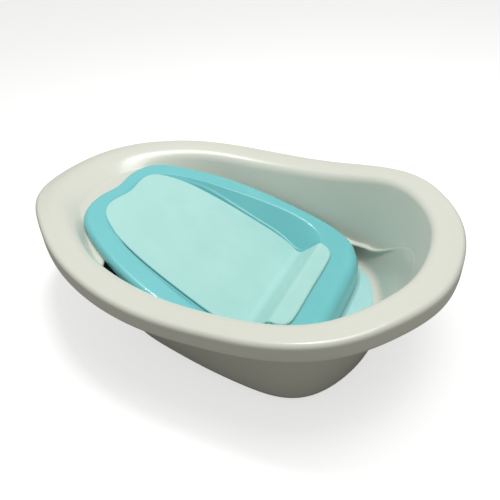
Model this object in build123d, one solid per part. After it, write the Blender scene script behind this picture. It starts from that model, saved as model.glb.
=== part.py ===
from build123d import *
import os

# Baby bathtub: a wide rolled-rim tub, a reclined newborn seat that lifts out,
# soft pads on the seat and on the floor, and a push-in drain plug.
# Origin: centre of the box around the tub, on the surface it stands on.
# +X is the foot end (the round bowl), -X the head end, +Z up. Millimetres.

# ---- overall sizes -------------------------------------------------------
tub_length = 740.0
tub_width = 528.0
rim_level = 185.0          # height of the rim's reference level above the table
foot_reach = 0.70          # base outline at the foot, share of the half length
head_reach = 0.53          # base outline at the head, share of the half length

# ---- shell ---------------------------------------------------------------
wall = 3.0                 # moulded wall
rim_width = 44.0           # rim, outer edge to bathing space
skirt_height = 29.0        # the turned-down edge of the rim
rim_outer_radius = 8.0
rim_inner_radius = 22.0
floor_level = 9.0          # inside floor above the table
foot_ring_width = 16.0     # the ring that the tub stands on
channel_low = 100.0        # start of the cut under the rolled rim
channel_shallow_reach = 26.0
channel_deep_drop = 12.0
ledge_thickness = 3.0
ledge_bearing = 12.0       # how far the ledge reaches under the seat's edge
ledge_end = 232.0          # where the ledges stop towards the foot end

# ---- drain ---------------------------------------------------------------
drain_x = -95.0
drain_bore = 38.0
plug_clearance = 0.25
plug_flange = 50.0
plug_flange_thickness = 4.0
plug_depth = 7.0           # how far the plug's stem reaches through the floor
pull_ring = 11.0
pull_wire = 3.0

# ---- newborn seat --------------------------------------------------------
seat_wall = 3.0
seat_level = 118.0         # height of the seat's upper face at x = 0
seat_slope = 0.32          # rise towards the head for each mm of length
seat_edge_depth = 18.0     # turned-down edge of the seat
seat_gap = 0.4             # running gap under the seat
pocket_head = -222.0       # the sunken bed that holds the pad
pocket_foot = 124.0
pocket_depth = 50.0        # deepest at the fold
pocket_lip = 1.5           # step down at the head and the foot of the bed
leg_half_width = 152.0
leg_back = 138.0

# ---- pads ----------------------------------------------------------------
pad_thickness = 5.0
pad_gap = 0.3
pad_fold = 78.0            # crease between the back and the foot band
pad_end = 149.0
pad_head = -216.0
floor_pad_thickness = 2.5
floor_pad_inset = 20.0
floor_pad_start = -45.0

half_length = tub_length / 2
half_width = tub_width / 2

# Half outlines from the head end round to the foot end, one side only. The rim's
# are shares of the half length and of the half width. The others are shares of
# the half length in both directions on a tub of this length and width, and
# their widths follow the tub's width when it changes.
width_share = 740.0 / 528.0
RIM = [(-1.0, 0.0), (-0.972, 0.220), (-0.900, 0.397), (-0.720, 0.634), (-0.500, 0.838),
       (-0.260, 0.956), (0.0, 0.998), (0.280, 0.989), (0.500, 0.962), (0.700, 0.855),
       (0.860, 0.622), (0.965, 0.340), (1.0, 0.0)]
BASE = [(-head_reach, 0.0), (-head_reach * 0.99, 0.140), (-0.50, 0.250), (-0.42, 0.345),
        (-0.27, 0.415), (-0.10, 0.455), (0.08, 0.485), (0.26, 0.504), (0.42, 0.504),
        (0.545, 0.455), (foot_reach * 0.91, 0.335), (foot_reach * 0.985, 0.175), (foot_reach, 0.0)]
SEAT = [(-0.668, 0.0), (-0.664, 0.120), (-0.640, 0.230), (-0.555, 0.335), (-0.440, 0.407),
        (-0.300, 0.460), (-0.140, 0.496), (0.060, 0.514), (0.260, 0.512), (0.400, 0.478),
        (0.485, 0.390), (0.525, 0.215), (0.535, 0.0)]
POCKET = [(-0.600, 0.0), (-0.592, 0.130), (-0.550, 0.215), (-0.473, 0.285), (-0.352, 0.338),
          (-0.200, 0.385), (-0.040, 0.424), (0.100, 0.445), (0.200, 0.440), (0.280, 0.405),
          (0.322, 0.330), (0.334, 0.180), (0.335, 0.0)]

# The pad's half outline in millimetres: a long back, a slight waist at the fold, a foot band.
PAD = [(pad_head, 0.0), (pad_head + 1, 34.0), (pad_head + 4, 56.0), (pad_head + 12, 71.0), (pad_head + 28, 86.0),
       (pad_head + 52, 100.0), (pad_head + 86, 111.0), (pad_head + 142, 121.0), (pad_fold - 98, 125.0),
       (pad_fold - 36, 125.5), (pad_fold - 14, 121.0), (pad_fold, 115.0), (pad_fold + 24, 113.0),
       (pad_end - 20, 114.0), (pad_end - 9, 108.0), (pad_end - 2, 96.0), (pad_end, 80.0), (pad_end, 0.0)]


def rim_height(x):
    """Height of the rim's crown at x: high at both ends, low at the middle."""
    u = x / half_length
    wave = 0.050 * (u * u - 1 / 3) + 0.032 * (u ** 3 - u) - 0.164 * (u ** 4 - u * u)
    return rim_level + wave * half_length


def seat_height(x):
    return seat_level - seat_slope * x


def mirrored(half):
    """A closed list of points from a half outline that starts and ends on the X axis."""
    return half + [(x, -y) for x, y in reversed(half[1:-1])]


def rim_points():
    return [(u * half_length, v * half_width) for u, v in RIM]


def scaled(table):
    return [(u * half_length, v * half_width * width_share) for u, v in table]


def inset(half, distance):
    """Moves each point of a half outline inwards, square to the outline."""
    moved = []
    last = len(half) - 1
    for i, (x, y) in enumerate(half):
        if i == 0 or i == last:
            moved.append((x + (distance if i == 0 else -distance), 0.0))
            continue
        ax, ay = half[i - 1]
        bx, by = half[i + 1]
        run = Vector(bx - ax, by - ay, 0).normalized()
        moved.append((x + run.Y * distance, y - run.X * distance))
    return moved


def face_at(half, z):
    return Plane.XY.offset(z) * make_face(Spline(*[(x, y) for x, y in mirrored(half)], periodic=True))


def prism(half, low, high):
    return extrude(face_at(half, low), high - low)


def curve_edge(height, drop, left, right):
    """The exact curve z = height(x) - drop as one smooth edge (heights are at most quartic in x)."""
    ts = [0.0, 0.25, 0.5, 0.75, 1.0]
    zs = [height(left + (right - left) * t) - drop for t in ts]
    z0, z4 = zs[0], zs[4]
    # solve the three inner control heights of a quartic curve through the five heights
    r1 = zs[1] - (0.75 ** 4 * z0 + 0.25 ** 4 * z4)
    r2 = zs[2] - (0.5 ** 4 * z0 + 0.5 ** 4 * z4)
    r3 = zs[3] - (0.25 ** 4 * z0 + 0.75 ** 4 * z4)
    rows = [[4 * (1 - t) ** 3 * t, 6 * (1 - t) ** 2 * t * t, 4 * (1 - t) * t ** 3, r]
            for t, r in ((0.25, r1), (0.5, r2), (0.75, r3))]
    for i in range(3):
        rows[i] = [v / rows[i][i] for v in rows[i]]
        for j in range(3):
            if j != i:
                rows[j] = [q - rows[j][i] * p for q, p in zip(rows[j], rows[i])]
    inner = [row[3] for row in rows]
    heights = [z0] + inner + [z4]
    return Bezier(*[(left + (right - left) * i / 4, z) for i, z in enumerate(heights)])


def below_curve(height, drop, low=-60.0, reach=60.0):
    """Everything between z = low and the curve height(x) - drop, far beyond both sides."""
    left, right = -half_length - reach, half_length + reach
    top = curve_edge(height, drop, left, right)
    sides = Polyline((right, height(right) - drop), (right, low), (left, low), (left, height(left) - drop))
    return extrude(Plane.XZ * make_face([top, sides]), tub_width, both=True)


def wall_outline(z, thickness):
    """Outline of the tub's wall at height z. The head wall leans back like a chair,
    the sides and the foot end are nearly straight."""
    top_level = rim_level + 25.0
    top = inset(rim_points(), rim_width - wall)
    share = max(z, 0.0) / top_level
    points = []
    for (tx, ty), (bx, by) in zip(top, scaled(BASE)):
        lean = min(max((-tx / half_length - 0.50) / 0.32, 0.0), 1.0)
        bend = 0.95 + 2.2 * lean * lean * (3 - 2 * lean)
        s = share ** bend
        points.append((bx + (tx - bx) * s, by + (ty - by) * s))
    return inset(points, thickness)


def wall_solid(low, thickness):
    levels = [low, 45.0, 90.0, 130.0, 165.0, 195.0, rim_level + 45.0]
    return loft([face_at(wall_outline(z, thickness), z) for z in levels])


def top_edges(solid, height, drop):
    """The edges that lie on the crown curve."""
    found = []
    for edge in solid.edges():
        spots = [edge.position_at(t) for t in (0.15, 0.5, 0.85)]
        if all(abs(p.Z - (height(p.X) - drop)) < 0.6 for p in spots):
            found.append(edge)
    return found


def widest(edge):
    return max(abs(edge.position_at(t).Y) for t in (0.25, 0.5, 0.75))


def rounded_top(solid, height, drop, inner, outer):
    solid = fillet([e for e in top_edges(solid, height, drop) if widest(e) > half_width - rim_width / 2], outer)
    return fillet([e for e in top_edges(solid, height, drop) if widest(e) < half_width - rim_width * 0.7], inner)


def rim_tunnels():
    """The hollow under the rolled rim: a wide shallow step and a narrower deep one."""
    outline = rim_points()
    tunnels = []
    for reach, depth in ((channel_shallow_reach, wall + 0.5), (rim_width - 2 * wall, channel_deep_drop)):
        ring = prism(inset(outline, wall), channel_low, rim_level + 60.0)
        ring -= prism(inset(outline, reach), channel_low, rim_level + 60.0)
        tunnels.append(ring & below_curve(rim_height, depth))
    return tunnels


def seat_ledge():
    """A band under the seat's edge, at the head and along both sides. The cavity is
    cut short by it, so it stays standing as a shelf on the wall."""
    under = seat_edge_depth + seat_gap
    ledge = below_curve(seat_height, under) - below_curve(seat_height, under + ledge_thickness)
    ledge -= prism(inset(scaled(SEAT), ledge_bearing), 0.0, rim_level + 60.0)
    beyond = Pos(ledge_end + half_length, 0, rim_level / 2) * Box(2 * half_length, tub_width, 2 * rim_level)
    leg_room = Pos(leg_back - 2 + half_length, 0, rim_level / 2) * Box(
        2 * half_length, 2 * leg_half_width + 6, 2 * rim_level)
    return ledge - beyond - leg_room


def tub_shell():
    body = wall_solid(0.0, 0.0)
    cavity = wall_solid(floor_level, wall) - seat_ledge()
    crown = below_curve(rim_height, 0.0)
    rim_block = prism(rim_points(), 0.0, rim_level + 60.0) & crown
    rim_block -= below_curve(rim_height, skirt_height)
    for tunnel in rim_tunnels():
        rim_block -= tunnel
    shell = rim_block + (body & crown) - cavity
    shell = rounded_top(shell, rim_height, 0.0, rim_inner_radius, rim_outer_radius)
    # the base stands on a ring; the floor inside it is one wall thick
    shell -= prism(inset(scaled(BASE), foot_ring_width), -1.0, floor_level - wall)
    return shell - Pos(drain_x, 0, 0) * Cylinder(drain_bore / 2, 60)


def bed_height(x):
    """The pad's bed: it sinks from the head to the fold, then climbs to the foot end."""
    sink = pocket_depth - pocket_lip
    if x <= pad_fold:
        return seat_height(x) - pocket_lip - sink * (x - pocket_head) / (pad_fold - pocket_head)
    return seat_height(x) - pocket_lip - sink * (pocket_foot - x) / (pocket_foot - pad_fold)


def above_bed(drop):
    """Everything above the bed, moved down by drop."""
    left, right, high = -half_length, half_length * 0.6, 3 * rim_level
    line = [(left, high), (left, bed_height(left) - drop), (pad_fold, bed_height(pad_fold) - drop),
            (right, bed_height(right) - drop), (right, high)]
    return extrude(Plane.XZ * make_face(Polyline(*line, close=True)), tub_width, both=True)


def infant_seat():
    """A tray moulded in one wall thickness: reclined top, sunken bed for the pad,
    turned-down edge, and a foot-end leg that stands on the floor pad."""
    outer = scaled(SEAT)

    def filled(shift):
        block = prism(inset(outer, shift), 0.0, 260.0) & below_curve(seat_height, shift)
        pocket = prism(inset(scaled(POCKET), -shift), 0.0, 260.0) & above_bed(shift)
        return block - pocket

    tray = filled(0.0) - filled(seat_wall)
    upper = tray - below_curve(seat_height, seat_edge_depth)
    leg_foot = floor_level + floor_pad_thickness + seat_gap
    leg_space = Pos(leg_back + 200, 0, leg_foot + 150) * Box(400, 2 * leg_half_width, 300)
    # the pocket's underside is kept whole below the turned-down edge
    bed_space = prism(inset(scaled(POCKET), -seat_wall - 0.5), 0.0, 260.0)
    return upper + (tray & leg_space) + (tray & bed_space)


def seat_pad():
    """Soft pad: the back lies in the seat's bed, the foot band folds up over its end."""
    plan = Plane.XY * make_face(Polyline(*mirrored(PAD), close=True))
    ramp_top = pocket_foot - 4.0
    low = [(pad_head - 5, bed_height(pad_head - 5)), (pad_fold, bed_height(pad_fold)),
           (ramp_top, seat_height(ramp_top)), (pad_end + 5, seat_height(pad_end + 5))]
    low = [(x, z + pad_gap) for x, z in low]
    section = low + [(x, z + pad_thickness) for x, z in reversed(low)]
    return extrude(plan, 260.0) & extrude(Plane.XZ * make_face(Polyline(*section, close=True)), tub_width, both=True)


def floor_pad():
    pad = prism(inset(scaled(BASE), floor_pad_inset), floor_level, floor_level + floor_pad_thickness)
    return pad - Pos(floor_pad_start - half_length, 0, 0) * Box(2 * half_length, tub_width, 4 * rim_level)


def drain_plug():
    """Stem in the hole, a flange just above the floor, and a half ring to pull it by."""
    flange_foot = floor_level + plug_clearance
    flange_top = flange_foot + plug_flange_thickness
    stem_foot = floor_level - plug_depth
    stem = Pos(drain_x, 0, (stem_foot + flange_top) / 2) * Cylinder(
        drain_bore / 2 - plug_clearance, flange_top - stem_foot)
    flange = Pos(drain_x, 0, (flange_foot + flange_top) / 2) * Cylinder(plug_flange / 2, plug_flange_thickness)
    flange = fillet(flange.edges().sort_by(Axis.Z)[-1], 1.5)
    ring = Rot(90, 0, 0) * Torus(pull_ring - pull_wire / 2, pull_wire / 2)
    ring &= Pos(0, 0, 50) * Box(100, 100, 100)
    return stem + flange + Pos(drain_x, 0, flange_top - 1.0) * ring


if __name__ == "__main__":
    os.makedirs("parts", exist_ok=True)
    for make in (tub_shell, infant_seat, seat_pad, floor_pad, drain_plug):
        part = make()
        print(make.__name__, round(part.volume), len(part.solids()), part.bounding_box(), flush=True)
        export_step(part, "parts/" + make.__name__ + ".step")
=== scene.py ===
# %% [markdown]
# # Baby bathtub
#
# A newborn-to-toddler tub is one large moulding with a rolled rim. A reclined
# seat for a newborn lies on ledges inside it, a soft pad lies on the seat, a
# second soft pad covers the floor at the foot end, and a rubber plug closes the
# drain under the seat. The solid model of those pieces is the frame: it is
# loaded first and never moved. The pieces you see are built around it, and each
# rides on the body that it belongs to.

# %% Load the frame
import math
import bmesh
import bpy
import numpy as np
from mathutils import Matrix, Vector


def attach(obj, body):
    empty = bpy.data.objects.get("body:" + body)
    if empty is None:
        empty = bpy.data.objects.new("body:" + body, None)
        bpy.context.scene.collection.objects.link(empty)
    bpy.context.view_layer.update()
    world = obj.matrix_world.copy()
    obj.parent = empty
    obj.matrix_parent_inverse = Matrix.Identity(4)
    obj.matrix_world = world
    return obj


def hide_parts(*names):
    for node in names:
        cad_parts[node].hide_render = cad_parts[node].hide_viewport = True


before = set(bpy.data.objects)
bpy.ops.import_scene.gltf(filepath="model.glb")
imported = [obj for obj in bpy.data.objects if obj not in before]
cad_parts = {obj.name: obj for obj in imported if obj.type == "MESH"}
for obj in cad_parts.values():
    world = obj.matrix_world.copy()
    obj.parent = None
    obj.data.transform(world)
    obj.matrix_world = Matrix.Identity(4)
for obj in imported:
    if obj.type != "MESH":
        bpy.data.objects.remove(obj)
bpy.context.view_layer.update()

# %% [markdown]
# ## The sizes that every piece shares
#
# All the mouldings follow a few half outlines, from the head end round to the
# foot end. The rim's own height is a saddle: high at both ends and low in the
# middle. Keeping these as small tables and one formula, rather than as a
# sculpted mesh, means that the seat, the pads and the shell keep fitting each
# other when one of them is adjusted.

# %% Shared sizes, in metres
HALF_LENGTH = 0.370
HALF_WIDTH = 0.264
RIM_LEVEL = 0.185
RIM_WIDTH = 0.044
SKIRT = 0.029
WALL = 0.003
FLOOR = 0.009
TOP_LEVEL = RIM_LEVEL + 0.025    # the wall's formula ends here, above the rim's mean level
SEAT_LEVEL = 0.118               # height of the seat's plane over the tub's middle
SEAT_SLOPE = 0.32
BED_SINK = 0.0485                # how far the bed lies under the seat's plane, beyond its lip
BED_LIP = 0.0015

# half outlines: RIM in shares of the half length and width, BASE to BED in shares of the half
# length, and PAD in metres
RIM = [(-1.0, 0.0), (-0.972, 0.220), (-0.900, 0.397), (-0.720, 0.634), (-0.500, 0.838),
       (-0.260, 0.956), (0.0, 0.998), (0.280, 0.989), (0.500, 0.962), (0.700, 0.855),
       (0.860, 0.622), (0.965, 0.340), (1.0, 0.0)]
BASE = [(-0.530, 0.0), (-0.525, 0.140), (-0.50, 0.250), (-0.42, 0.345), (-0.27, 0.415),
        (-0.10, 0.455), (0.08, 0.485), (0.26, 0.504), (0.42, 0.504), (0.545, 0.455),
        (0.637, 0.335), (0.6895, 0.175), (0.70, 0.0)]
SEAT = [(-0.651, 0.0), (-0.664, 0.125), (-0.645, 0.240), (-0.560, 0.342), (-0.440, 0.407),
        (-0.300, 0.460), (-0.140, 0.496), (0.060, 0.514), (0.260, 0.512), (0.400, 0.478),
        (0.496, 0.398), (0.533, 0.260), (0.535, 0.0)]
POCKET = [(-0.588, 0.0), (-0.592, 0.130), (-0.550, 0.215), (-0.473, 0.285), (-0.352, 0.338),
          (-0.200, 0.385), (-0.040, 0.424), (0.100, 0.445), (0.200, 0.440), (0.280, 0.405),
          (0.322, 0.330), (0.334, 0.180), (0.335, 0.0)]
BED = [(-0.569, 0.0), (-0.577, 0.122), (-0.541, 0.202), (-0.472, 0.256), (-0.352, 0.305),
       (-0.200, 0.328), (-0.049, 0.338), (0.097, 0.339), (0.200, 0.314), (0.262, 0.308),
       (0.300, 0.286), (0.318, 0.160), (0.320, 0.0)]
PAD = [(-0.2105, 0.0), (-0.2145, 0.036), (-0.2135, 0.060), (-0.206, 0.076), (-0.190, 0.090),
       (-0.165, 0.103), (-0.130, 0.113), (-0.074, 0.121), (-0.020, 0.125), (0.042, 0.1255),
       (0.064, 0.121), (0.078, 0.115), (0.102, 0.113), (0.129, 0.114), (0.140, 0.108),
       (0.147, 0.096), (0.149, 0.080), (0.149, 0.0)]
PAD_FOLD = 0.078
POCKET_HEAD, POCKET_FOOT = -0.222, 0.124


def rim_height(x):
    """The saddle of the rim: high at both ends and low in the middle."""
    u = np.asarray(x) / HALF_LENGTH
    wave = 0.050 * (u * u - 1 / 3) + 0.032 * (u ** 3 - u) - 0.164 * (u ** 4 - u * u)
    return RIM_LEVEL + wave * HALF_LENGTH


def seat_height(x):
    """The seat's plane, which falls from the head to the foot end."""
    return SEAT_LEVEL - SEAT_SLOPE * np.asarray(x)


def bed_drop(x, soft=0.018):
    """How far the bed lies under the seat's plane: two straight slopes that meet in a soft fold."""
    x = np.asarray(x, float)
    back = BED_SINK * (x - POCKET_HEAD) / (PAD_FOLD - POCKET_HEAD)
    front = BED_SINK * (POCKET_FOOT - x) / (POCKET_FOOT - PAD_FOLD)
    h = np.clip(soft - np.abs(back - front), 0.0, None) / soft
    return BED_LIP + np.clip(np.minimum(back, front) - h * h * soft / 4, 0.0, None)


def bed_height(x):
    return seat_height(x) - bed_drop(x)


def smoothstep(low, high, value):
    t = np.clip((np.asarray(value, float) - low) / (high - low), 0.0, 1.0)
    return t * t * (3 - 2 * t)


print("rim height at head, middle, foot:", rim_height([-0.37, 0.0, 0.37]).round(4))

# %% [markdown]
# ## Smooth closed outlines
#
# Each half outline of the mouldings has thirteen points. Mirrored and joined by
# a periodic cubic spline it becomes one smooth loop. All of them use the same
# knots, so point 40 of the rim lies straight out from point 40 of the base, and
# rings of the same count can be joined to a surface without any twist.

# %% Outline helpers
RING_COUNT = 384


def mirrored(half, scale_y):
    """A whole outline in metres from a half outline in shares."""
    pts = [(u * HALF_LENGTH, v * scale_y) for u, v in half]
    return np.array(pts + [(x, -y) for x, y in reversed(pts[1:-1])])


def periodic_spline(points, knots, at):
    """A periodic cubic spline through the points at the knots; the last knot is the period."""
    n = len(points)
    h = np.diff(knots)
    system, right = np.zeros((n, n)), np.zeros((n, points.shape[1]))
    for i in range(n):
        before, after = h[i - 1], h[i]
        system[i, i - 1] += before
        system[i, i] += 2 * (before + after)
        system[i, (i + 1) % n] += after
        right[i] = 6 * ((points[(i + 1) % n] - points[i]) / after - (points[i] - points[i - 1]) / before)
    bend = np.linalg.solve(system, right)
    at = np.mod(at, knots[-1])
    k = np.clip(np.searchsorted(knots, at, side="right") - 1, 0, n - 1)
    j = (k + 1) % n
    step = h[k][:, None]
    a, b = (knots[k + 1] - at)[:, None], (at - knots[k])[:, None]
    near = (points[k] / step - bend[k] * step / 6) * a
    far = (points[j] / step - bend[j] * step / 6) * b
    return (bend[k] * a ** 3 + bend[j] * b ** 3) / (6 * step) + near + far


rim_stations = mirrored(RIM, HALF_WIDTH)
gaps = np.linalg.norm(np.roll(rim_stations, -1, axis=0) - rim_stations, axis=1)
KNOTS = np.concatenate([[0.0], np.cumsum(gaps)])
STATIONS = np.linspace(0.0, KNOTS[-1], RING_COUNT, endpoint=False)
# the spline is linear in its points, so one matrix turns any 24 points into a loop
SPREAD = periodic_spline(np.eye(len(rim_stations)), KNOTS, STATIONS)


def loop(points):
    """The smooth loop through the stations of an outline."""
    return SPREAD @ np.asarray(points, float)


def inset(points, distance):
    """Moves the points of a loop inwards, square to the loop."""
    points = np.asarray(points, float)
    run = np.roll(points, -1, axis=0) - np.roll(points, 1, axis=0)
    run /= np.linalg.norm(run, axis=1)[:, None]
    return points + distance * np.stack([run[:, 1], -run[:, 0]], axis=1)


def inset_each(points, distances):
    """As inset, with a distance for each point."""
    return points + (inset(points, 1.0) - points) * np.asarray(distances)[..., None]


rim_loop = loop(rim_stations)
base_stations = mirrored(BASE, HALF_LENGTH)
top_stations = inset(rim_stations, RIM_WIDTH - WALL)
print("rim loop", rim_loop.min(0).round(4), rim_loop.max(0).round(4))


def wall_loop(z, thickness=0.0):
    """Loop of the tub's wall at height z; the head wall leans back."""
    share = max(z, 0.0) / TOP_LEVEL
    lean = smoothstep(0.50, 0.82, -top_stations[:, 0] / HALF_LENGTH)
    s = share ** (0.95 + 2.2 * lean)
    pts = base_stations + (top_stations - base_stations) * s[:, None]
    return loop(inset(pts, thickness))


# %% [markdown]
# ## Joining rings to a skin
#
# A moulding with a round plan is easiest to make as a stack of rings: each ring
# has the same count of points, and neighbouring rings are joined by quads. The
# middle of a floor is closed by shrinking the last ring in a few steps, and then
# by a small fan. The rings are close together where the profile turns, so smooth
# shading is enough and no subdivision is needed.

# %% Mesh helpers
def new_piece(name, verts, faces, smooth=True):
    mesh = bpy.data.meshes.new(name)
    mesh.from_pydata([tuple(map(float, v)) for v in verts], [], faces)
    mesh.validate()
    for poly in mesh.polygons:
        poly.use_smooth = smooth
    piece = bpy.data.objects.new(name, mesh)
    bpy.context.scene.collection.objects.link(piece)
    return piece


def skin(name, rings, close_start=True, close_end=True):
    """Quads between successive rings; each end is closed by a fan to its middle."""
    count = len(rings[0])
    verts = [tuple(p) for ring in rings for p in ring]
    faces = []
    for r in range(len(rings) - 1):
        for i in range(count):
            j = (i + 1) % count
            faces.append((r * count + i, r * count + j, (r + 1) * count + j, (r + 1) * count + i))
    if close_start:
        verts.append(tuple(np.mean(rings[0], axis=0)))
        faces += [(len(verts) - 1, (i + 1) % count, i) for i in range(count)]
    if close_end:
        verts.append(tuple(np.mean(rings[-1], axis=0)))
        last = (len(rings) - 1) * count
        faces += [(len(verts) - 1, last + i, last + (i + 1) % count) for i in range(count)]
    return new_piece(name, verts, faces)


def outward(piece):
    """Turns all faces to point out of the closed piece."""
    bm = bmesh.new()
    bm.from_mesh(piece.data)
    bmesh.ops.remove_doubles(bm, verts=bm.verts, dist=1e-6)
    bmesh.ops.recalc_face_normals(bm, faces=bm.faces)
    bm.to_mesh(piece.data)
    bm.free()
    return piece


def apply_modifiers(piece):
    """Replaces the piece's mesh by what its modifiers make of it."""
    graph = bpy.context.evaluated_depsgraph_get()
    done = bpy.data.meshes.new_from_object(piece.evaluated_get(graph))
    old = piece.data
    piece.modifiers.clear()
    piece.data = done
    bpy.data.meshes.remove(old)
    for poly in piece.data.polygons:
        poly.use_smooth = True
    return piece


# %% [markdown]
# ## The tub's shell
#
# The real shell is one injection moulding: a rim that rolls over and hangs down
# as a skirt, walls that lean in, a ledge for the seat, and a floor. Here one
# profile is walked round the whole tub, from the middle of the floor, up the
# inside, over the rim and down the outside. Each corner of the profile is
# rounded with a short curve, because a moulding has no sharp corner.

# %% Levels and helpers of the shell
LEDGE_DROP = 0.0184                        # from the seat's plane down to the ledge
LEDGE_TAIL = 0.009                         # width of the ledge past the seat
LEDGE_END = 0.262
LEDGE_DEPTH = 0.006
GRIP = (-0.170, -0.146, -0.088, -0.062)    # the ledge narrows, stays narrow, and widens again
FLOOR_ROUND = 0.013
BASE_ROUND = 0.016
FOOT_RING = 0.016
CROWN_ROUND = 0.008
HOLLOW = np.array([0.02, 0.0])             # the middle of the floor


def ledge_height(x):
    """The ledge follows the seat's underside; past the seat it levels out and climbs the foot wall."""
    x = np.asarray(x, float)
    under_seat = seat_height(x) - LEDGE_DROP
    tail = 0.054 + 0.085 * smoothstep(0.200, 0.310, x)
    return under_seat + (tail - under_seat) * smoothstep(0.135, 0.200, x)


def rounded(a, corner, b, steps):
    """Points of a quadratic curve from a to b that turns at the corner."""
    out = []
    for t in np.linspace(0.0, 1.0, steps):
        out.append((1 - t) ** 2 * a + 2 * (1 - t) * t * corner + t * t * b)
    return out


def raised(flat, z):
    """A loop in plan lifted to height z (one number, or one for each point)."""
    return np.column_stack([flat, np.broadcast_to(z, len(flat))])


def wall_points(z_each, thickness):
    """Points on the wall at a different height for each point of the loop."""
    levels = np.linspace(0.0, TOP_LEVEL + 0.012, 48)
    stack = np.array([wall_loop(z, thickness) for z in levels])
    spot = np.clip(np.asarray(z_each) / levels[1], 0, len(levels) - 1.001)
    k = spot.astype(int)
    f = (spot - k)[:, None]
    index = np.arange(RING_COUNT)
    flat = stack[k, index] * (1 - f) + stack[k + 1, index] * f
    return raised(flat, z_each)


def wall_rings(z_from, z_to, count, thickness):
    """Rings on the wall between two heights, without the two ends."""
    return [wall_points(z_from + (z_to - z_from) * s, thickness) for s in np.linspace(0, 1, count)[1:-1]]


rim_inward = inset(rim_loop, 1.0) - rim_loop


def crown_point(distance, drop):
    """The ring that lies distance inside the rim's outline and drop under its crown."""
    flat = rim_loop + rim_inward * distance
    return raised(flat, rim_height(flat[:, 0]) - drop)


# the rim's inner corner, and how high the wall climbs before it turns into the rim
crown_start = wall_points(rim_height(rim_loop[:, 0]), WALL)
corner_height = rim_height(crown_start[:, 0])
wall_top = corner_height - 0.021 + 0.010 * smoothstep(0.10, 0.30, crown_start[:, 0])
print("wall top from", round(float(wall_top.min()), 4), "to", round(float(wall_top.max()), 4))

# %% [markdown]
# The ledge is found as a line on the wall first. From there it stands out until
# it reaches under the seat's edge, so the distance from the line to the seat's
# outline gives its width. Past the seat it carries on as a narrow shelf, and
# fades into the foot wall.

# %% Floor and ledge
def floor_rings():
    """The floor from its middle outwards, and the round corner up to the wall."""
    edge = wall_loop(FLOOR, WALL)
    rings = [raised(HOLLOW + (edge - HOLLOW) * s, FLOOR) for s in (0.02, 0.2, 0.4, 0.6, 0.75)]
    start = raised(inset(edge, FLOOR_ROUND), FLOOR)
    end = wall_points(np.full(RING_COUNT, FLOOR + FLOOR_ROUND), WALL)
    return rings + rounded(start, raised(edge, FLOOR), end, 14)


def ledge_on_wall():
    """The line on the wall that the ledge's top leaves from."""
    line = wall_points(ledge_height(rim_loop[:, 0] * 0.72), WALL)
    for _ in range(4):
        line = wall_points(np.minimum(ledge_height(line[:, 0]), wall_top - LEDGE_DEPTH), WALL)
    return line


def ledge_reach(line):
    """How far the ledge stands out: under the seat's edge, then narrow, then fading to nothing."""
    bearing = loop(inset(mirrored(SEAT, HALF_LENGTH), 0.006))
    to_seat = np.linalg.norm(line[:, None, :2] - bearing[None], axis=2).min(axis=1)
    past = smoothstep(0.120, 0.165, line[:, 0])
    reach = to_seat * (1 - past) + LEDGE_TAIL * past
    reach = reach * (1 - smoothstep(0.185, LEDGE_END, line[:, 0])) + 0.0001
    # beside the back rest the near ledge is cut back, so a dark gap shows past the seat
    grip = smoothstep(GRIP[0], GRIP[1], line[:, 0]) * (1 - smoothstep(GRIP[2], GRIP[3], line[:, 0]))
    return np.where(line[:, 1] < 0, reach * (1 - 0.9 * grip), reach)


def ledge_rings(line):
    """A shelf with a round nose, from its underside to the wall above it."""
    level = line[:, 2]
    reach = ledge_reach(line)
    inward = inset(line[:, :2], 1.0) - line[:, :2]
    thin = (reach[:, None] / 0.016).clip(0, 1)
    rings = [wall_points(level - LEDGE_DEPTH, WALL)]
    for drop, back in ((0.0042, 0.0015), (0.0032, 0.0003), (0.0022, 0.0), (0.0010, 0.0003), (0.0, 0.0015)):
        on_wall = wall_points(level - drop, WALL)
        rings.append(raised(on_wall[:, :2] + inward * (reach[:, None] - back * thin), level - drop))
    turn_in = np.minimum(0.004, reach * 0.4)
    start = raised(line[:, :2] + inward * turn_in[:, None], level)
    return rings + rounded(start, line, wall_points(level + 0.004, WALL), 6)


ledge_line = ledge_on_wall()
print("ledge from", round(float(ledge_line[:, 2].min()), 4), "to", round(float(ledge_line[:, 2].max()), 4))

# %% [markdown]
# The rim is drawn from its outline: each ring lies a distance inside it and a
# drop under the crown. The rings go over the crown, down the skirt and back up
# inside it, to where the outside of the wall begins.

# %% Crown, skirt and outside
def crown_rings():
    """From the wall over the rim, down the skirt, and back under the rim."""
    corner = wall_points(np.minimum(corner_height, TOP_LEVEL + 0.010), WALL)
    flat_start = crown_point(0.020 + 0.009 * smoothstep(0.10, 0.30, rim_loop[:, 0])[:, None], 0.0)
    rings = rounded(wall_points(wall_top, WALL), raised(corner[:, :2], corner_height), flat_start, 20)
    rings.append(crown_point(0.014, 0.0))
    for angle in np.linspace(0, math.pi / 2, 12):
        rings.append(crown_point(CROWN_ROUND - CROWN_ROUND * math.sin(angle),
                                 CROWN_ROUND - CROWN_ROUND * math.cos(angle)))
    rings += [crown_point(0.0, drop) for drop in (0.013, 0.019, 0.025)]
    # round the skirt's lower edge, then up inside it
    rings += [crown_point(distance, drop) for distance, drop in
              ((0.0004, SKIRT - 0.0012), (0.0015, SKIRT), (0.0026, SKIRT - 0.0012), (WALL, 0.022),
               (WALL, 0.012), (0.006, 0.006), (0.014, 0.0036), (0.024, 0.0040))]
    return rings


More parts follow.
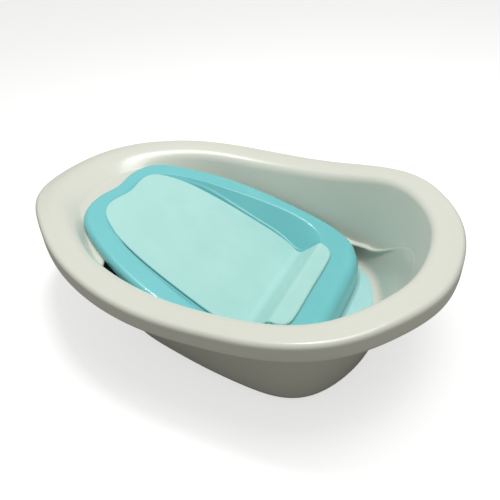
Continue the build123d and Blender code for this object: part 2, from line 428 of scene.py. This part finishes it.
def outside_rings():
    """Down the outside of the wall, round the base's edge, and under the raised middle."""
    high = np.minimum(corner_height - 0.024, TOP_LEVEL - 0.02)
    rings = [wall_points(high, 0.0)] + wall_rings(high, BASE_ROUND, 22, 0.0)
    edge = wall_loop(0.0, 0.0)
    start = wall_points(np.full(RING_COUNT, BASE_ROUND), 0.0)
    rings += rounded(start, raised(edge, 0.0), raised(inset(edge, BASE_ROUND * 0.6), 0.0), 12)
    rings.append(raised(inset(edge, FOOT_RING), 0.0))
    inner = inset(edge, FOOT_RING + 0.001)
    return rings + [raised(HOLLOW + (inner - HOLLOW) * s, FLOOR - WALL) for s in (1, 0.75, 0.5, 0.25, 0.02)]


# %% Join the shell
ledge_level = ledge_line[:, 2]
rings = floor_rings()
rings += wall_rings(FLOOR + FLOOR_ROUND, ledge_level - LEDGE_DEPTH, 9, WALL)
rings += ledge_rings(ledge_line)
rings += wall_rings(ledge_level + 0.004, wall_top, 18, WALL)
rings += crown_rings()
rings += outside_rings()
tub = outward(skin("tub_moulding", rings))
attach(tub, "tub")
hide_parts("tub_shell")
print("shell", len(rings), "rings,", len(tub.data.vertices), "points")

# %% [markdown]
# ## The newborn seat
#
# The seat is a tray of one wall thickness: a flat border, a bed that sinks like
# a bucket from the head to a fold, and a front slope that climbs back up to the
# foot border. Rings are walked outwards from the spine of the tray: over the
# bed, up the scooped side to the crest, over the border, round the edge and down
# the skirt. Because the rings follow the crest, the crest stays a clean line,
# and a Solidify modifier gives the sheet its thickness.

# %% Helpers for the tray
def s_curve(t, low, high):
    """A straight climb from 0 to 1 with a round start (share low) and a round end (share high)."""
    t = np.clip(np.asarray(t, float), 0.0, 1.0)
    slope = 1.0 / (1 - low / 2 - high / 2)
    start = slope * t * t / (2 * low)
    middle = slope * (t - low / 2)
    end = 1 - slope * (1 - t) ** 2 / (2 * high)
    return np.where(t < low, start, np.where(t > 1 - high, end, middle))


bed_loop = loop(mirrored(BED, HALF_LENGTH))
crest_loop = loop(mirrored(POCKET, HALF_LENGTH))
seat_loop = loop(mirrored(SEAT, HALF_LENGTH))
SEAT_ROLL = 0.009      # radius of the rolled edge
LEG_ROLL = 0.022       # and where it turns down into the leg at the foot end
SEAT_SKIRT = 0.018
LEG_FOOT = 0.0122      # the leg stands just clear of the floor pad
print("crest half width", round(float(crest_loop[:, 1].max()), 4))
print("seat half width", round(float(seat_loop[:, 1].max()), 4))


# %% Build the tray
def bed_rings():
    """The bed, from its spine out to its edge."""
    spine = np.column_stack([np.clip(bed_loop[:, 0], -0.17, 0.070), np.zeros(RING_COUNT)])
    rings = []
    for s in np.linspace(0.0, 1.0, 44):
        flat = spine + (bed_loop - spine) * s
        rings.append(raised(flat, bed_height(flat[:, 0])))
    return rings


def scoop_rings():
    """A low bead frames the pad, then the scooped side climbs to the crest."""
    run = np.linalg.norm(crest_loop - bed_loop, axis=1)
    shares = [np.linspace(0.02, 0.24, 12), np.linspace(0.28, 0.82, 12), np.linspace(0.84, 1.0, 9)]
    rings = []
    for s in np.concatenate(shares):
        flat = bed_loop + (crest_loop - bed_loop) * s
        drop = bed_drop(flat[:, 0])
        bead = 0.0022 * np.exp(-((s * run - 0.0045) / 0.0018) ** 2) * smoothstep(0.008, 0.020, drop)
        climbed = seat_height(flat[:, 0]) - drop * (1 - s_curve(s, 0.16, 0.14))
        rings.append(raised(flat, climbed + bead))
    return rings


def border_rings():
    """The flat border, its rolled edge, and the skirt, which is a leg at the foot end."""
    width = np.abs(seat_loop[:, 1])
    leg = smoothstep(0.130, 0.160, seat_loop[:, 0]) * (1 - smoothstep(0.146, 0.168, width))
    roll = SEAT_ROLL + (LEG_ROLL - SEAT_ROLL) * leg
    inner = inset_each(seat_loop, roll)
    rings = []
    for s in np.linspace(0.0, 1.0, 9)[1:]:
        flat = crest_loop + (inner - crest_loop) * s
        rings.append(raised(flat, seat_height(flat[:, 0])))
    z_edge = rings[-1][:, 2]
    for angle in np.linspace(0, math.pi / 2, 12)[1:]:
        flat = inset_each(seat_loop, roll * (1 - math.sin(angle)))
        rings.append(raised(flat, z_edge - roll * (1 - math.cos(angle))))
    start = rings[-1][:, 2]
    skirt_foot = seat_height(seat_loop[:, 0]) - SEAT_SKIRT
    foot = np.minimum(skirt_foot + (LEG_FOOT - skirt_foot) * leg, start - 0.001)
    return rings + [raised(seat_loop, start + (foot - start) * s) for s in np.linspace(0, 1, 8)[1:]]


seat_rings = bed_rings() + scoop_rings() + border_rings()
seat = outward(skin("seat_tray", seat_rings, close_start=False, close_end=False))
thick = seat.modifiers.new("wall", "SOLIDIFY")
thick.thickness = WALL
thick.offset = -1
apply_modifiers(seat)
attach(seat, "seat")
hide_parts("infant_seat")
print("seat", len(seat.data.vertices), "points")

# %% [markdown]
# ## The soft pads
#
# Both pads are thin sheets of foam with a smooth skin, so they lie flat and only
# their edges are round. The seat pad has a long back and a foot band; where the
# bed folds, the pad bends with it and the band climbs onto the tray's foot end.
# Each pad is made of rings too: an outline is drawn inwards for the top, turned
# round a half circle for the bead at the edge, and drawn inwards again below.

# %% Seat pad
PAD_THICKNESS = 0.005
PAD_GAP = 0.0003
PAD_RAMP_TOP = 0.120   # where the front slope reaches the tray's foot end
PAD_EASE = 0.006       # how softly the pad bends over there


def pad_under(x, soft=0.015):
    """The pad's lower face: down to the fold, up the front slope, along the tray's foot end."""
    x = np.asarray(x, float)
    bed = float(seat_height(PAD_FOLD)) - BED_SINK - BED_LIP
    head = float(seat_height(POCKET_HEAD)) - BED_LIP
    edge = float(seat_height(PAD_RAMP_TOP))
    back = bed + (x - PAD_FOLD) * (bed - head) / (PAD_FOLD - POCKET_HEAD)
    front = bed + (x - PAD_FOLD) * (edge - bed) / (PAD_RAMP_TOP - PAD_FOLD)
    h = np.clip(soft - np.abs(back - front), 0.0, None) / soft
    low = np.maximum(back, front) + h * h * soft / 4
    top = seat_height(x)
    h = np.clip(PAD_EASE - np.abs(low - top), 0.0, None) / PAD_EASE
    return np.where(x > PAD_FOLD, np.minimum(low, top) - h * h * PAD_EASE / 4, low) + PAD_GAP


def even_loop(half, count):
    """A closed smooth outline with evenly spaced points, from a half outline."""
    pts = np.array(half + [(x, -y) for x, y in reversed(half[1:-1])])
    steps = np.linalg.norm(np.roll(pts, -1, axis=0) - pts, axis=1)
    knots = np.concatenate([[0.0], np.cumsum(steps)])
    return periodic_spline(pts, knots, np.linspace(0, knots[-1], count, endpoint=False))


def soft_sheet(name, outline, spine, under, height, bead):
    """A closed thin cushion on the surface z = under(x): flat faces and a round bead at the edge."""
    centre = np.column_stack([np.clip(outline[:, 0], *spine), np.zeros(len(outline))])
    inner = inset(outline, bead)
    rings = []
    for s in np.linspace(0.0, 1.0, 40):
        flat = centre + (inner - centre) * s
        rings.append(raised(flat, under(flat[:, 0])))
    for angle in np.linspace(-math.pi / 2, math.pi / 2, 13)[1:-1]:
        flat = inset(outline, bead * (1 - math.cos(angle)))
        rings.append(raised(flat, under(flat[:, 0]) + height / 2 * (1 + math.sin(angle))))
    for s in np.linspace(1.0, 0.0, 40):
        flat = centre + (inner - centre) * s
        rings.append(raised(flat, under(flat[:, 0]) + height))
    return outward(skin(name, rings, close_start=False, close_end=False))


pad_outline = even_loop(PAD, 360)
seat_pad = soft_sheet("seat_cushion", pad_outline, (-0.14, 0.10), pad_under, PAD_THICKNESS, 0.0026)
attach(seat_pad, "seat")
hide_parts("seat_pad")
print("seat pad", len(seat_pad.data.vertices), "points")

# %% Floor pad
FLOOR_PAD_START = -0.045
CORNER = 0.012
FLOOR_PAD_THICKNESS = 0.0025
floor_pad_stations = inset(base_stations, 0.0145)
floor_dense = periodic_spline(floor_pad_stations, KNOTS, np.linspace(0, KNOTS[12], 500))
half_width = float(floor_dense[floor_dense[:, 0] > FLOOR_PAD_START][0, 1])
across = [(FLOOR_PAD_START, y) for y in np.linspace(0.0, half_width - CORNER, 12)]
bend = [(FLOOR_PAD_START + CORNER * (1 - math.cos(t)), half_width - CORNER * (1 - math.sin(t)))
        for t in np.linspace(0.2, math.pi / 2, 6)]
along = [tuple(p) for p in floor_dense[floor_dense[:, 0] > FLOOR_PAD_START + 0.015][::9]]
floor_half = across + bend + along + [(float(floor_dense[:, 0].max()), 0.0)]
floor_outline = even_loop(floor_half, 320)


def floor_under(x):
    return np.full(len(x), FLOOR)


floor_pad = soft_sheet("floor_cushion", floor_outline, (0.06, 0.14), floor_under,
                       FLOOR_PAD_THICKNESS, 0.0013)
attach(floor_pad, "tub")
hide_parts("floor_pad")
print("floor pad", floor_outline.min(0).round(4), "to", floor_outline.max(0).round(4))

# %% [markdown]
# ## The drain plug
#
# A rubber plug is a turned shape: a tapered stem, a broad flange and a half ring
# to pull it by. It hides under the seat, yet it is a loose piece with a job, so
# it is made like the rest: a profile turned round its axis, and a bent ring.

# %% Turn the plug
PLUG_X = -0.095
PLUG_PROFILE = [(0.0170, 0.0022), (0.0182, 0.0034), (0.0186, 0.0090), (0.0240, 0.0094),
                (0.0249, 0.0106), (0.0244, 0.0124), (0.0225, 0.0131), (0.0100, 0.0131)]
PULL_RADIUS, PULL_WIRE, PULL_BASE = 0.0093, 0.0015, 0.0122


def turned(profile, around=64):
    """One ring for each (radius, height) of the profile."""
    angles = np.linspace(0, 2 * math.pi, around, endpoint=False)
    return [[(PLUG_X + r * math.cos(a), r * math.sin(a), z) for a in angles] for r, z in profile]


def bent_ring(bends=28, around=12):
    """Rings along a half circle of wire that stands on the plug."""
    rings = []
    for a in np.linspace(0, math.pi, bends + 1):
        ring = []
        for t in np.linspace(0, 2 * math.pi, around, endpoint=False):
            r = PULL_RADIUS + PULL_WIRE * math.cos(t)
            ring.append((PLUG_X + r * math.cos(a), PULL_WIRE * math.sin(t), PULL_BASE + r * math.sin(a)))
        rings.append(ring)
    return rings


plug = outward(skin("drain_stopper", turned(PLUG_PROFILE)))
pull = outward(skin("drain_pull", bent_ring()))
for piece in (plug, pull):
    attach(piece, "plug")
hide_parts("drain_plug")
print("plug", len(plug.data.vertices), "points")

# %% [markdown]
# ## Finishes
#
# The shell, the seat and the plug are moulded: glossy, very slightly mottled,
# with a faint ripple that breaks up reflections. The same effect with other
# values serves all three, so it is a node group. The pads have a matte skin with
# a fine pebble, which is a second group. The groups give only colours and
# values; the shader itself stays in each material.

# %% Helpers for node groups
def new_group(name, values):
    """A group with an input for each value, and a colour, a roughness and a height as outputs."""
    group = bpy.data.node_groups.new(name, "ShaderNodeTree")
    for label, value in values.items():
        kind = "NodeSocketFloat" if isinstance(value, float) else "NodeSocketColor"
        group.interface.new_socket(name=label, in_out="INPUT", socket_type=kind).default_value = value
    for label, kind in (("Color", "Color"), ("Roughness", "Float"), ("Height", "Float")):
        group.interface.new_socket(name=label, in_out="OUTPUT", socket_type="NodeSocket" + kind)
    return group


def add(group, kind, **values):
    """A node in the group, with constants for the sockets that are named."""
    node = group.nodes.new(kind)
    for label, value in values.items():
        node.inputs[label.replace("_", " ")].default_value = value
    return node


def tint(group, noise, low, high, inp, out):
    """Mixes the two colours by a noise whose range low to high counts as 0 to 1."""
    ramp = add(group, "ShaderNodeMapRange", From_Min=low, From_Max=high)
    mix = add(group, "ShaderNodeMix")
    mix.data_type = "RGBA"
    group.links.new(noise.outputs["Fac"], ramp.inputs["Value"])
    group.links.new(ramp.outputs["Result"], mix.inputs["Factor"])
    group.links.new(inp.outputs["Light Colour"], mix.inputs["A"])
    group.links.new(inp.outputs["Deep Colour"], mix.inputs["B"])
    group.links.new(mix.outputs["Result"], out.inputs["Color"])


PALE, DEEP = (0.8, 0.8, 0.8, 1), (0.7, 0.7, 0.7, 1)


# %% The two groups
def moulded_group():
    """Gloss that varies a little with scuffs, a slow flow of colour and a faint ripple."""
    group = new_group("moulded_plastic", {"Light Colour": PALE, "Deep Colour": DEEP, "Flow Scale": 9.0,
                                          "Ripple Scale": 60.0, "Polish": 0.25})
    links = group.links
    inp, out = add(group, "NodeGroupInput"), add(group, "NodeGroupOutput")
    place = add(group, "ShaderNodeTexCoord")
    flow = add(group, "ShaderNodeTexNoise", Detail=3.0, Distortion=0.6)
    ripple = add(group, "ShaderNodeTexNoise", Detail=2.0)
    scuff = add(group, "ShaderNodeTexNoise", Scale=28.0, Detail=6.0)
    rough = add(group, "ShaderNodeMapRange", From_Min=0.35, From_Max=0.75)
    wider = add(group, "ShaderNodeMath")
    wider.operation = "ADD"
    wider.inputs[1].default_value = 0.03
    for noise in (flow, ripple, scuff):
        links.new(place.outputs["Object"], noise.inputs["Vector"])
    links.new(inp.outputs["Flow Scale"], flow.inputs["Scale"])
    links.new(inp.outputs["Ripple Scale"], ripple.inputs["Scale"])
    tint(group, flow, 0.30, 0.70, inp, out)
    links.new(scuff.outputs["Fac"], rough.inputs["Value"])
    links.new(inp.outputs["Polish"], rough.inputs["To Min"])
    links.new(inp.outputs["Polish"], wider.inputs[0])
    links.new(wider.outputs["Value"], rough.inputs["To Max"])
    links.new(rough.outputs["Result"], out.inputs["Roughness"])
    links.new(ripple.outputs["Fac"], out.inputs["Height"])
    return group


def pebble_group():
    """A matte skin: clouded colour and roughness, and round pebbles as height."""
    group = new_group("soft_pebble", {"Light Colour": PALE, "Deep Colour": DEEP, "Pebble Scale": 900.0})
    links = group.links
    inp, out = add(group, "NodeGroupInput"), add(group, "NodeGroupOutput")
    place = add(group, "ShaderNodeTexCoord")
    cloud = add(group, "ShaderNodeTexNoise", Scale=14.0, Detail=4.0)
    cells = add(group, "ShaderNodeTexVoronoi")
    cells.feature = "SMOOTH_F1"
    rough = add(group, "ShaderNodeMapRange", To_Min=0.50, To_Max=0.66)
    for texture in (cloud, cells):
        links.new(place.outputs["Object"], texture.inputs["Vector"])
    links.new(inp.outputs["Pebble Scale"], cells.inputs["Scale"])
    tint(group, cloud, 0.32, 0.68, inp, out)
    links.new(cloud.outputs["Fac"], rough.inputs["Value"])
    links.new(rough.outputs["Result"], out.inputs["Roughness"])
    links.new(cells.outputs["Distance"], out.inputs["Height"])
    return group


MOULDED, PEBBLE = moulded_group(), pebble_group()
print("groups", MOULDED.name, PEBBLE.name)

# %% Materials
def linear(r, g, b):
    """sRGB 0-255 to the linear colour that sockets take."""
    out = []
    for c in (r, g, b):
        c = c / 255
        out.append(c / 12.92 if c <= 0.04045 else ((c + 0.055) / 1.055) ** 2.4)
    return (*out, 1.0)


def finish(name, group, values, bump, depth, coat=0.0, sheen=0.0, specular=0.5):
    """A material whose colour, roughness and bump come from the group, with these values."""
    material = bpy.data.materials.new(name)
    material.use_nodes = True
    nodes, links = material.node_tree.nodes, material.node_tree.links
    shader = nodes["Principled BSDF"]
    effect = nodes.new("ShaderNodeGroup")
    effect.node_tree = group
    for key, value in values.items():
        effect.inputs[key].default_value = value
    bumps = nodes.new("ShaderNodeBump")
    bumps.inputs["Strength"].default_value = bump
    bumps.inputs["Distance"].default_value = depth
    links.new(effect.outputs["Color"], shader.inputs["Base Color"])
    links.new(effect.outputs["Roughness"], shader.inputs["Roughness"])
    links.new(effect.outputs["Height"], bumps.inputs["Height"])
    links.new(bumps.outputs["Normal"], shader.inputs["Normal"])
    shader.inputs["Coat Weight"].default_value = coat
    shader.inputs["Coat Roughness"].default_value = 0.06
    shader.inputs["Sheen Weight"].default_value = sheen
    shader.inputs["Specular IOR Level"].default_value = specular
    return material


cream = finish("cream_polypropylene", MOULDED,
               {"Light Colour": linear(208, 210, 199), "Deep Colour": linear(206, 208, 197),
                "Flow Scale": 4.0, "Ripple Scale": 14.0, "Polish": 0.30}, 0.010, 0.0006, coat=0.25)
teal = finish("teal_polypropylene", MOULDED,
              {"Light Colour": linear(112, 193, 197), "Deep Colour": linear(107, 189, 193),
               "Flow Scale": 8.0, "Ripple Scale": 26.0, "Polish": 0.34}, 0.015, 0.0006, coat=0.45)
aqua = finish("aqua_foam_skin", PEBBLE,
              {"Light Colour": linear(169, 214, 209), "Deep Colour": linear(163, 209, 203),
               "Pebble Scale": 700.0}, 0.12, 0.0004, sheen=0.05, specular=0.3)
aqua_floor = finish("aqua_grip_skin", PEBBLE,
                    {"Light Colour": linear(171, 216, 216), "Deep Colour": linear(165, 210, 209),
                     "Pebble Scale": 520.0}, 0.16, 0.0004, sheen=0.05, specular=0.3)
rubber = finish("white_rubber", MOULDED,
                {"Light Colour": linear(228, 228, 222), "Deep Colour": linear(220, 220, 214),
                 "Flow Scale": 30.0, "Ripple Scale": 160.0, "Polish": 0.45}, 0.08, 0.0005)
for piece, material in ((tub, cream), (seat, teal), (seat_pad, aqua), (floor_pad, aqua_floor),
                        (plug, rubber), (pull, rubber)):
    piece.data.materials.clear()
    piece.data.materials.append(material)
print("finishes", [m.name for m in (cream, teal, aqua, aqua_floor, rubber)])

# %% [markdown]
# ## Studio
#
# A pale floor and a pale surround. The key light is a large soft box overhead,
# towards the foot end, so the rim and the pads are bright while the near wall
# under the rim stays in shade; a small box gives the rim and the seat's edges
# their crisp highlights. The floor is a plain pale paper. It shows bright to the
# eye, but its bounce is held back, as a dark table runner does in a studio, or
# else the white floor would light the tub from below and flatten its walls.

# %% Paper floor
PAPER_REACH, PAPER_LEVEL = 4, -0.0002
paper_corners = [(x * PAPER_REACH, y * PAPER_REACH, PAPER_LEVEL)
                 for x, y in ((-1, -1), (1, -1), (1, 1), (-1, 1))]
floor = new_piece("studio_floor", paper_corners, [(0, 1, 2, 3)], smooth=False)
paper = bpy.data.materials.new("pale_paper")
paper.use_nodes = True
paper_nodes, paper_links = paper.node_tree.nodes, paper.node_tree.links
shade = paper_nodes["Principled BSDF"]
shade.inputs["Base Color"].default_value = (0.55, 0.55, 0.55, 1)
shade.inputs["Emission Color"].default_value = (1, 1, 1, 1)
shade.inputs["Emission Strength"].default_value = 0.62
shade.inputs["Roughness"].default_value = 0.95
shade.inputs["Specular IOR Level"].default_value = 0.1
held = paper_nodes.new("ShaderNodeBsdfDiffuse")
held.inputs["Color"].default_value = (0.30, 0.29, 0.27, 1)
seen = paper_nodes.new("ShaderNodeLightPath")
choose = paper_nodes.new("ShaderNodeMixShader")
paper_links.new(seen.outputs["Is Camera Ray"], choose.inputs["Fac"])
paper_links.new(held.outputs["BSDF"], choose.inputs[1])
paper_links.new(shade.outputs["BSDF"], choose.inputs[2])
paper_links.new(choose.outputs["Shader"], paper_nodes["Material Output"].inputs["Surface"])
floor.data.materials.append(paper)
print("paper", 2 * PAPER_REACH, "m wide")

# %% Surround and lights
world = bpy.data.worlds.new("studio_air")
bpy.context.scene.world = world
world.use_nodes = True
air = world.node_tree.nodes["Background"]
air.inputs["Color"].default_value = (1.0, 0.99, 0.96, 1)
air.inputs["Strength"].default_value = 0.42


def softbox(name, place, aim, size, power):
    """A rectangle of light at a place, turned to its aim."""
    lamp = bpy.data.lights.new(name, "AREA")
    lamp.shape = "RECTANGLE"
    lamp.size, lamp.size_y = size
    lamp.energy = power
    piece = bpy.data.objects.new(name, lamp)
    bpy.context.scene.collection.objects.link(piece)
    piece.location = place
    piece.rotation_euler = (Vector(aim) - Vector(place)).to_track_quat("-Z", "Y").to_euler()


softbox("overhead_box", (0.45, 0.15, 2.1), (0.05, 0, 0.1), (1.2, 1.2), 20)
softbox("glint_box", (-0.12, 0.05, 1.7), (0, 0, 0.15), (0.30, 0.18), 9)
print("studio ready")

# %% [markdown]
# ## Camera
#
# The camera looks down from the near side, a little from the foot end, and is
# tipped slightly. It is built from its distance, its two angles and its tilt, so
# the view can be read off the numbers.

# %% Camera
AZIMUTH, ELEVATION, TILT = math.radians(28.1), math.radians(35.6), math.radians(-3.25)
DISTANCE = 2.0797 * HALF_LENGTH
FOCAL_SHARE = 1.01886    # focal length over the sensor's width
AIM = np.array([0.2048, -0.2212, 0.0]) * HALF_LENGTH + np.array([0, 0, RIM_LEVEL])
back = np.array([math.sin(AZIMUTH) * math.cos(ELEVATION), -math.cos(AZIMUTH) * math.cos(ELEVATION),
                 math.sin(ELEVATION)])
right = np.array([math.cos(AZIMUTH), math.sin(AZIMUTH), 0.0])
upward = np.cross(back, right)
side = right * math.cos(TILT) + upward * math.sin(TILT)
top = -right * math.sin(TILT) + upward * math.cos(TILT)
eye = AIM + back * DISTANCE
lens = bpy.data.cameras.new("studio_camera")
lens.sensor_width = 36.0
lens.lens = FOCAL_SHARE * lens.sensor_width
camera = bpy.data.objects.new("studio_camera", lens)
bpy.context.scene.collection.objects.link(camera)
camera.matrix_world = Matrix([(*row, place) for row, place in zip(zip(side, top, back), eye)]
                             + [(0, 0, 0, 1)])
bpy.context.scene.camera = camera
bpy.context.scene.view_settings.view_transform = "Standard"
print("camera at", eye.round(4), "lens", round(lens.lens, 2))
